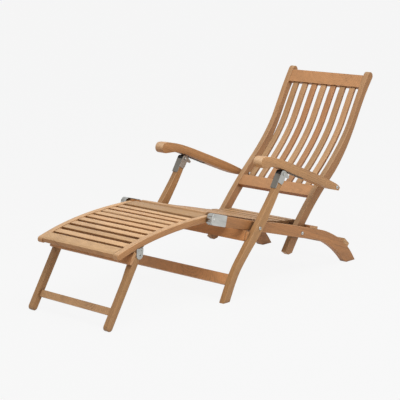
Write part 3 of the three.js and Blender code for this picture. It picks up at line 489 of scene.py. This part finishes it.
bolt_steel = satin_steel("bolt", 0, shine=0.14)
for joint, body, tube in (("leg", "seat_frame", leg_gap), ("back", "back_bolts", back_gap),
                          ("arm", "arm_bolts", arm_gap)):
    right_bolt = button_bolt(f"{joint}_button_bolt_right", f"{joint}_bolt_right", tube)
    left_bolt = other_hand(right_bolt, f"{joint}_button_bolt_left")
    for side, bolt in (("right", right_bolt), ("left", left_bolt)):
        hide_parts(f"{joint}_bolt_{side}")
        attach(bolt, body)


# The back is a teak frame of two bowed stiles with a deep top rail and a lower rail tenoned between
# them, and seven slats steam-bent to the same bow, which are let into both rails.

back_slope = 50
stile_face = 0.201
slat_colours = (honey, olive, chestnut, honey, chestnut, honey, olive)
back_slat_round = 0.003
# Painted light: side faces get a deep painted shade, and the back stiles' up-facing faces are painted
# darker.
deep_side_shade = (0.80, 0.66, 0.54, 1)
stile_top_shade = (0.80, 0.82, 0.84, 1)
stile_shares = {"left": 0.86, "right": 0.98}
slat_share = 0.96
node_weld = 0.00002
flat_within = radians(1)
eased_above = radians(40)


def rounded_copy(name, node, body, material, round_over):
    deselect_all()
    board = bpy.data.objects.new(name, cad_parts[node].data.copy())
    bpy.context.collection.objects.link(board)
    board.select_set(True)
    bpy.context.view_layer.objects.active = board
    bpy.ops.object.mode_set(mode="EDIT")
    bpy.ops.mesh.select_all(action="SELECT")
    bpy.ops.mesh.remove_doubles(threshold=node_weld)
    bpy.ops.mesh.dissolve_limited(angle_limit=flat_within)
    bpy.ops.mesh.select_all(action="SELECT")
    bpy.ops.mesh.normals_make_consistent(inside=False)
    bpy.ops.object.mode_set(mode="OBJECT")
    easing = board.modifiers.new("easing", "BEVEL")
    easing.width = round_over
    easing.segments = 3
    easing.limit_method = "ANGLE"
    easing.angle_limit = eased_above
    bpy.ops.object.modifier_apply(modifier=easing.name)
    bpy.ops.object.shade_smooth_by_angle(angle=smooth_below)
    board.data.materials.clear()
    board.data.materials.append(material)
    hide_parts(node)
    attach(board, body)
    return board


for number, (side, share) in enumerate(stile_shares.items()):
    name = f"back_stile_{side}"
    finish_node(name, teak_board(name, back_slope, shaded(honey, share), 41 + number, sides=deep_side_shade,
                                 tops=stile_top_shade))
for number, name in ((47, "back_top_rail"), (48, "back_lower_rail")):
    finish_node(name, teak_board(name, back_slope, chestnut, number, across=True, shoulder=stile_face))
for number, colour in enumerate(slat_colours, 1):
    name = f"back_slat_{number}"
    slat_teak = teak_board(name, back_slope, shaded(colour, slat_share), 50 + number, sides=deep_side_shade)
    rounded_copy(name + "_board", name, "back_frame", slat_teak, back_slat_round)


# The arms are broad teak boards that end in a scroll under the hand, sawn and rounded by hand. A
# toothed steel rack is let in under each, for the tongue on the leg.

arm_slope = -23
arm_chamfer = 0.004
arm_ease = 0.0018
scroll_centre = (-0.007, 0.5373)
scroll_radius = 0.023
nose_reach = 0.15
nose_steps = 10
nose_drawn_in = 0.0095
# The scroll's end grain is paler: partly the end grain's own colour, partly a painted highlight on the
# lit nose.
nose_end_highlight = (0.80, 0.60, 0.40)
warm_honey = (0.575, 0.325, 0.152)
same_place = 0.00002


def pushed_across(name, outline, start, end, ease, material, shape_further=None):
    deselect_all()
    bpy.ops.mesh.primitive_circle_add(vertices=len(outline), radius=1, fill_type="NGON",
                                      location=(0, 0, 0))
    piece = bpy.context.object
    piece.name = name
    for vertex, (x, z) in zip(piece.data.vertices, outline):
        vertex.co = (x, start, z)
    bpy.ops.object.mode_set(mode="EDIT")
    bpy.ops.mesh.select_all(action="SELECT")
    bpy.ops.mesh.extrude_region_move(TRANSFORM_OT_translate={"value": (0, end - start, 0)})
    if shape_further:
        shape_further(piece)
    bpy.ops.mesh.select_all(action="SELECT")
    bpy.ops.mesh.normals_make_consistent(inside=False)
    bpy.ops.object.mode_set(mode="OBJECT")
    easing = piece.modifiers.new("easing", "BEVEL")
    easing.width = ease
    easing.segments = 2
    easing.limit_method = "ANGLE"
    easing.angle_limit = eased_above
    bpy.ops.object.modifier_apply(modifier=easing.name)
    bpy.ops.object.shade_smooth_by_angle(angle=smooth_below)
    piece.data.materials.append(material)
    return piece


def narrow_the_nose(piece):
    tip = min(vertex.co.x for vertex in piece.data.vertices)
    inner_side = min(vertex.co.y for vertex in piece.data.vertices)
    for step in range(1, nose_steps + 1):
        bpy.ops.mesh.select_all(action="SELECT")
        bpy.ops.mesh.bisect(plane_co=(tip + nose_reach * step / nose_steps, 0, 0), plane_no=(1, 0, 0))
    bpy.ops.object.mode_set(mode="OBJECT")
    for vertex in piece.data.vertices:
        if vertex.co.y < inner_side + arm_ease:
            share = min((vertex.co.x - tip) / nose_reach, 1)
            vertex.co.y += nose_drawn_in * (1 + cos(pi * share)) / 2
    bpy.ops.object.mode_set(mode="EDIT")


def arc(centre, radius, start, end, steps=9):
    angles = [radians(start + (end - start) * step / steps) for step in range(steps + 1)]
    return [(centre[0] + radius * cos(angle), centre[1] + radius * sin(angle)) for angle in angles]


def scrolled(outline):
    kept = [point for point in outline if point[0] > scroll_centre[0]]
    start, end = (270, 90) if kept[0][1] > scroll_centre[1] else (90, 270)
    return kept + arc(scroll_centre, scroll_radius, start, end, steps=18)


def side_outline(node, chamfer):
    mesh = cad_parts[node].data
    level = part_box(node)[0][1] + chamfer
    nearby = {}
    for triangle in mesh.polygons:
        corners = [mesh.vertices[i].co for i in triangle.vertices]
        ring = [(round(c.x, 6), round(c.z, 6)) for c in corners if abs(c.y - level) < same_place]
        if len(ring) == 2 and ring[0] != ring[1] and max(c.y for c in corners) > level + chamfer:
            nearby.setdefault(ring[0], []).append(ring[1])
            nearby.setdefault(ring[1], []).append(ring[0])
    outline = [min(nearby)]
    while len(outline) < len(nearby):
        onward = [point for point in nearby[outline[-1]] if point not in outline]
        if not onward:
            break
        outline.append(onward[0])
    return outline


# The rack under the arm gets the darkest painted shade.
rack_steel = satin_steel("rack", arm_slope, shine=0.34, shade_factor=0.4)
arm_outline = scrolled(side_outline("arm_right", arm_chamfer))
arm_teak = teak_board("arm_right", arm_slope, warm_honey, 63, ends=nose_end_highlight)
low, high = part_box("arm_right")
right_arm = pushed_across("arm_board_right", arm_outline, low[1], high[1], arm_ease, arm_teak,
                          narrow_the_nose)
left_arm = other_hand(right_arm, "arm_board_left")
left_arm.data.materials[0] = teak_board("arm_left", arm_slope, honey, 61, ends=nose_end_highlight)
for side, arm in (("right", right_arm), ("left", left_arm)):
    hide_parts(f"arm_{side}")
    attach(arm, f"arm_{side}")
    finish_node(f"arm_rack_{side}", rack_steel)


# The footrest is a second teak frame, which swings on the seat rails' hinges: two bowed stiles, a wide
# board at each end, and nine slats let into the stiles with open gaps between them.

footrest_slope = 10
front_board_slope = 28
rear_board_slope = 0
foot_slat_round = 0.003
# Painted light on the footrest: the slats' sides in the gaps get a warm painted shade, the stiles' and
# front board's sides the deep one, the slats' and front board's tops a painted highlight, and the rear
# board's top a painted shade.
warm_side_shade = (0.80, 0.62, 0.42, 1)
slat_top_light = (1.20, 1.26, 1.36, 1)
front_top_light = (1.04, 1.08, 1.12, 1)
rear_top_shade = (0.88, 0.87, 0.84, 1)
board_colours = (honey, warm_honey, honey, honey, warm_honey, honey, honey, olive, honey)
pale_honey = shaded(honey, 1.10)

for name, number in (("footrest_stile_left", 71), ("footrest_stile_right", 74)):
    finish_node(name, teak_board(name, footrest_slope, pale_honey, number, sides=deep_side_shade))
front_teak = teak_board("footrest_front_rail", front_board_slope, honey, 79, across=True,
                        shoulder=stile_face, sides=deep_side_shade, tops=front_top_light)
finish_node("footrest_front_rail", front_teak)
rear_teak = teak_board("footrest_rear_rail", rear_board_slope, olive, 81, across=True,
                       shoulder=stile_face, tops=rear_top_shade)
finish_node("footrest_rear_rail", rear_teak)
for number, colour in enumerate(board_colours, 1):
    name = f"footrest_slat_{number}"
    board_teak = teak_board(name, footrest_slope, colour, 83 + number, across=True,
                            shoulder=stile_face, sides=warm_side_shade, tops=slat_top_light)
    rounded_copy(name + "_board", name, "footrest", board_teak, foot_slat_round)


# Steel strap hinges carry the footrest. Each is a plate outside the seat rail, with a second strip that
# lies on top of the rail and is rolled down round the footrest's pin in front of the rail's end. Two
# beads are pressed across the rolled front to stiffen it.

hinge_slope = -15.62
hinge_pin = Vector((-0.26476, 0, 0.33896))
hinge_nose = 0.0178
hinge_tail = 0.072
hinge_top = 0.0243
hinge_foot = -0.0223
sheet = 0.002
corner = 0.004
rail_inside = 0.2300
rail_outside = 0.2563
front_steps = 24
roll_end = 262
bead_heights = (0.0085, -0.004)
bead_half = 0.0026
bead_depth = 0.0024
plate_ease = 0.0005


def on_the_rail(along, up):
    turn = radians(hinge_slope)
    x = hinge_pin.x + along * cos(turn) - up * sin(turn)
    z = hinge_pin.z + along * sin(turn) + up * cos(turn)
    return x, z


def beaded(line):
    pressed = []
    for along, up in line:
        if along < -hinge_nose / 2:
            for height in bead_heights:
                along += bead_depth * max(0, 1 - ((up - height) / bead_half) ** 2)
        pressed.append(on_the_rail(along, up))
    return pressed


def rolled_strip():
    upper = hinge_top - hinge_nose
    lower = hinge_foot + hinge_nose
    skin = hinge_nose - sheet
    heights = [upper + (lower - upper) * step / front_steps for step in range(1, front_steps)]
    outside = [(hinge_tail - corner, hinge_top), *arc((0, upper), hinge_nose, 90, 180),
               *[(-hinge_nose, height) for height in heights],
               *arc((0, lower), hinge_nose, 180, roll_end)]
    inside = [(hinge_tail - corner, hinge_top - sheet), *arc((0, upper), skin, 90, 180),
              *[(-skin, height) for height in heights],
              *arc((0, lower), skin, 180, roll_end)]
    return beaded(outside) + beaded(inside)[::-1]


hinge_steel = satin_steel("hinge", rail_slope, shine=0.18)
strip_steel = satin_steel("hinge_strip", rail_slope, shine=0.14, shade_factor=0.72, shade_reach=0.009)
plate = [*arc((0, hinge_top - hinge_nose), hinge_nose, 180, 90),
         *arc((hinge_tail - corner, hinge_top - corner), corner, 90, 0, steps=4),
         *arc((hinge_tail - corner, hinge_foot + corner), corner, 0, -90, steps=4),
         *arc((0, hinge_foot + hinge_nose), hinge_nose, 270, 180)]
side_plate = pushed_across("hinge_plate_right", [on_the_rail(*point) for point in plate], rail_outside,
                           rail_outside + sheet, plate_ease, hinge_steel)
strip = pushed_across("hinge_strip_right", rolled_strip(), rail_inside, rail_outside, plate_ease,
                      strip_steel)
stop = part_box("footrest_hinge_right")[0][1]
head = rail_outside + sheet
hinge_bolt = spun("hinge_pin_right", [
    (0, stop), (bolt_radius * 0.8, stop), (bolt_radius, stop + sheet / 2), (bolt_radius, rail_inside),
    (tube_radius, rail_inside), (tube_radius, rail_outside), (bolt_radius, rail_outside),
    (bolt_radius, head), (nut_radius, head), (nut_radius * 0.9, head + sheet * 0.5),
    (nut_radius * 0.5, head + sheet), (0, head + sheet)], hinge_pin)
hinge_bolt.data.materials.append(hinge_steel)
left_plate = other_hand(side_plate, "hinge_plate_left")
left_strip = other_hand(strip, "hinge_strip_left")
left_hinge_bolt = other_hand(hinge_bolt, "hinge_pin_left")
for piece in (side_plate, left_plate, strip, left_strip, hinge_bolt, left_hinge_bolt):
    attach(piece, "seat_frame")
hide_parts("footrest_hinge_right")
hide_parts("footrest_hinge_left")


# The foot legs are thin, round-ended teak boards joined by a rail near the floor and a batten just
# under the footrest. They fold up on steel ears, each of which turns on the hollow pin of a steel
# angle that is fixed to the footrest stile.

foot_leg_slope = 58
foot_leg_brown = shaded(olive, 0.92)
foot_pin = Vector((-0.65076, 0, 0.26496))
pin_hollow = 0.0026
hollow_depth = 0.005

ear_steel = satin_steel("ear", foot_leg_slope, shine=0.20, shade_factor=0.85)
for number, side in enumerate(("left", "right")):
    name = f"foot_leg_{side}"
    # The foot legs' tops take the darker painted side shade as well.
    finish_node(name, teak_board(name, foot_leg_slope, foot_leg_brown, 93 + number, tops=soft_side_shade))
    finish_node(f"foot_leg_ear_{side}", ear_steel)
    bracket = rounded_copy(f"foot_leg_pin_bracket_{side}", f"foot_leg_bracket_{side}", "footrest",
                           ear_steel, plate_ease)
    outer_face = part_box(f"foot_leg_bracket_{side}")[number][1]
    drill(bracket, (foot_pin.x, outer_face, foot_pin.z), pin_hollow, hollow_depth)
for name, colour, number in (("foot_leg_lower_rail", honey, 97), ("foot_leg_batten", chestnut, 99)):
    finish_node(name, teak_board(name, foot_leg_slope, colour, number, across=True))


# Two slotted steel screws hold the outer cheek of each of those angles to the footrest stile. They are
# turned, with the slot sawn across the head, and stand a little proud of the cheek.

screw_radius = 0.0032
screw_proud = 0.0006
slot_half = 0.0006
slot_turn = radians(30)
front_screw = Vector((-0.6565, 0.2293, 0.2835))
rear_screw = Vector((-0.6405, 0.2293, 0.2812))


def slotted_screw(name, place):
    face = place.y
    top = face + screw_proud
    screw = spun(name, [
        (0, face - sheet / 2), (screw_radius * 0.6, face - sheet / 2), (screw_radius, face),
        (screw_radius * 0.9, top - screw_proud * 0.3), (screw_radius * 0.5, top), (0, top)],
        Vector((place.x, 0, place.z)), segments=20)
    bpy.ops.mesh.primitive_cube_add(size=1, location=(place.x, top, place.z),
                                    rotation=(0, slot_turn, 0),
                                    scale=(screw_radius * 3, screw_proud * 2, slot_half * 2))
    cut_away(screw, bpy.context.object)
    screw.data.materials.append(bolt_steel)
    return screw


first_right = slotted_screw("foot_bracket_screw_right_1", front_screw)
first_left = other_hand(first_right, "foot_bracket_screw_left_1")
second_right = copied(first_right, "foot_bracket_screw_right_2")
bpy.ops.transform.translate(value=rear_screw - front_screw)
bpy.ops.object.mode_set(mode="OBJECT")
second_left = other_hand(second_right, "foot_bracket_screw_left_2")
for screw in (first_right, first_left, second_right, second_left):
    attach(screw, "footrest")


# The studio is a plain pale floor that runs out to a horizon of the same colour. The floor shows most
# of its own colour to the camera and a little of the light on it, so the shadows stay soft and faint.

paper = (0.94, 0.94, 0.94, 1)
floor_grey = (0.80, 0.80, 0.80, 1)
floor_reach = 60
own_colour_share = 0.96
sky_strength = 0.40


def seen_rays(tree):
    ray = add_node(tree, "LightPath", {})
    seen = ray.outputs["Is Camera Ray"]
    for kind in ("Is Glossy Ray", "Is Transmission Ray"):
        seen = add_node(tree, "Math", {0: seen, 1: ray.outputs[kind]}, operation="MAXIMUM").outputs[0]
    return seen


bpy.ops.mesh.primitive_plane_add(size=2 * floor_reach, location=(0, 0, 0))
floor = bpy.context.object
floor.name = "studio_floor"
floor_paper = bpy.data.materials.new("floor_paper")
floor_paper.use_nodes = True
floor_tree = floor_paper.node_tree
floor_tree.nodes.remove(floor_tree.nodes["Principled BSDF"])
lit = add_node(floor_tree, "BsdfDiffuse", {"Color": floor_grey}).outputs[0]
glow = add_node(floor_tree, "Emission", {"Color": paper}).outputs[0]
shown = add_node(floor_tree, "MixShader", {0: own_colour_share, 1: lit, 2: glow}).outputs[0]
choice = add_node(floor_tree, "MixShader", {0: seen_rays(floor_tree), 1: lit, 2: shown}).outputs[0]
floor_tree.links.new(choice, floor_tree.nodes["Material Output"].inputs["Surface"])
floor.data.materials.append(floor_paper)

sky = bpy.data.worlds.new("studio_sky")
sky.use_nodes = True
bpy.context.scene.world = sky
sky_tree = sky.node_tree
sky_white = (1, 1, 1, 1)
dim_sky = add_node(sky_tree, "Background", {"Color": sky_white, "Strength": sky_strength}).outputs[0]
pale_sky = add_node(sky_tree, "Background", {"Color": paper, "Strength": 1}).outputs[0]
sky_shown = add_node(sky_tree, "MixShader", {0: seen_rays(sky_tree), 1: dim_sky, 2: pale_sky})
sky_tree.links.new(sky_shown.outputs[0], sky_tree.nodes["World Output"].inputs["Surface"])


# One wide soft lamp hangs high over the near side, a little towards the foot end, and a weaker one at
# the height of the camera fills the near side. Both are square and point at the middle of the seat.

lamps = (("overhead", (-0.5, -1.1, 3.3), 2.4, 84), ("near_fill", (-1.4, -3.6, 1.5), 2.0, 8))
seat_middle = Vector((0, 0, 0.35))

for name, spot, width, power in lamps:
    lamp_data = bpy.data.lights.new(name, "AREA")
    lamp_data.shape = "SQUARE"
    lamp_data.size = width
    lamp_data.energy = power
    lamp = bpy.data.objects.new(name, lamp_data)
    bpy.context.collection.objects.link(lamp)
    aim = seat_middle - Vector(spot)
    lamp.matrix_world = Matrix.Translation(spot) @ aim.to_track_quat("-Z", "Y").to_matrix().to_4x4()
bpy.context.scene.view_settings.view_transform = "Standard"


# The camera stands five and a half metres off, ahead of the foot end and to the left, and one and a
# half metres up, with a long lens. Its place and angles come from the chair's own edges in the photo.

camera_place = Vector((-4.0692, -3.7240, 1.4933))
heading = radians(47.03)
dip = radians(-11.78)
roll = radians(-0.44)
lens = 120.6
film_width = 36

camera_data = bpy.data.cameras.new("camera")
camera_data.sensor_width = film_width
camera_data.lens = lens
camera = bpy.data.objects.new("camera", camera_data)
bpy.context.collection.objects.link(camera)
ahead = Vector((sin(heading) * cos(dip), cos(heading) * cos(dip), sin(dip)))
level = Vector((cos(heading), -sin(heading), 0))
upright = level.cross(ahead)
right = level * cos(roll) + upright * sin(roll)
up = upright * cos(roll) - level * sin(roll)
turned = Matrix((right, up, -ahead)).transposed().to_4x4()
camera.matrix_world = Matrix.Translation(camera_place) @ turned
bpy.context.scene.camera = camera
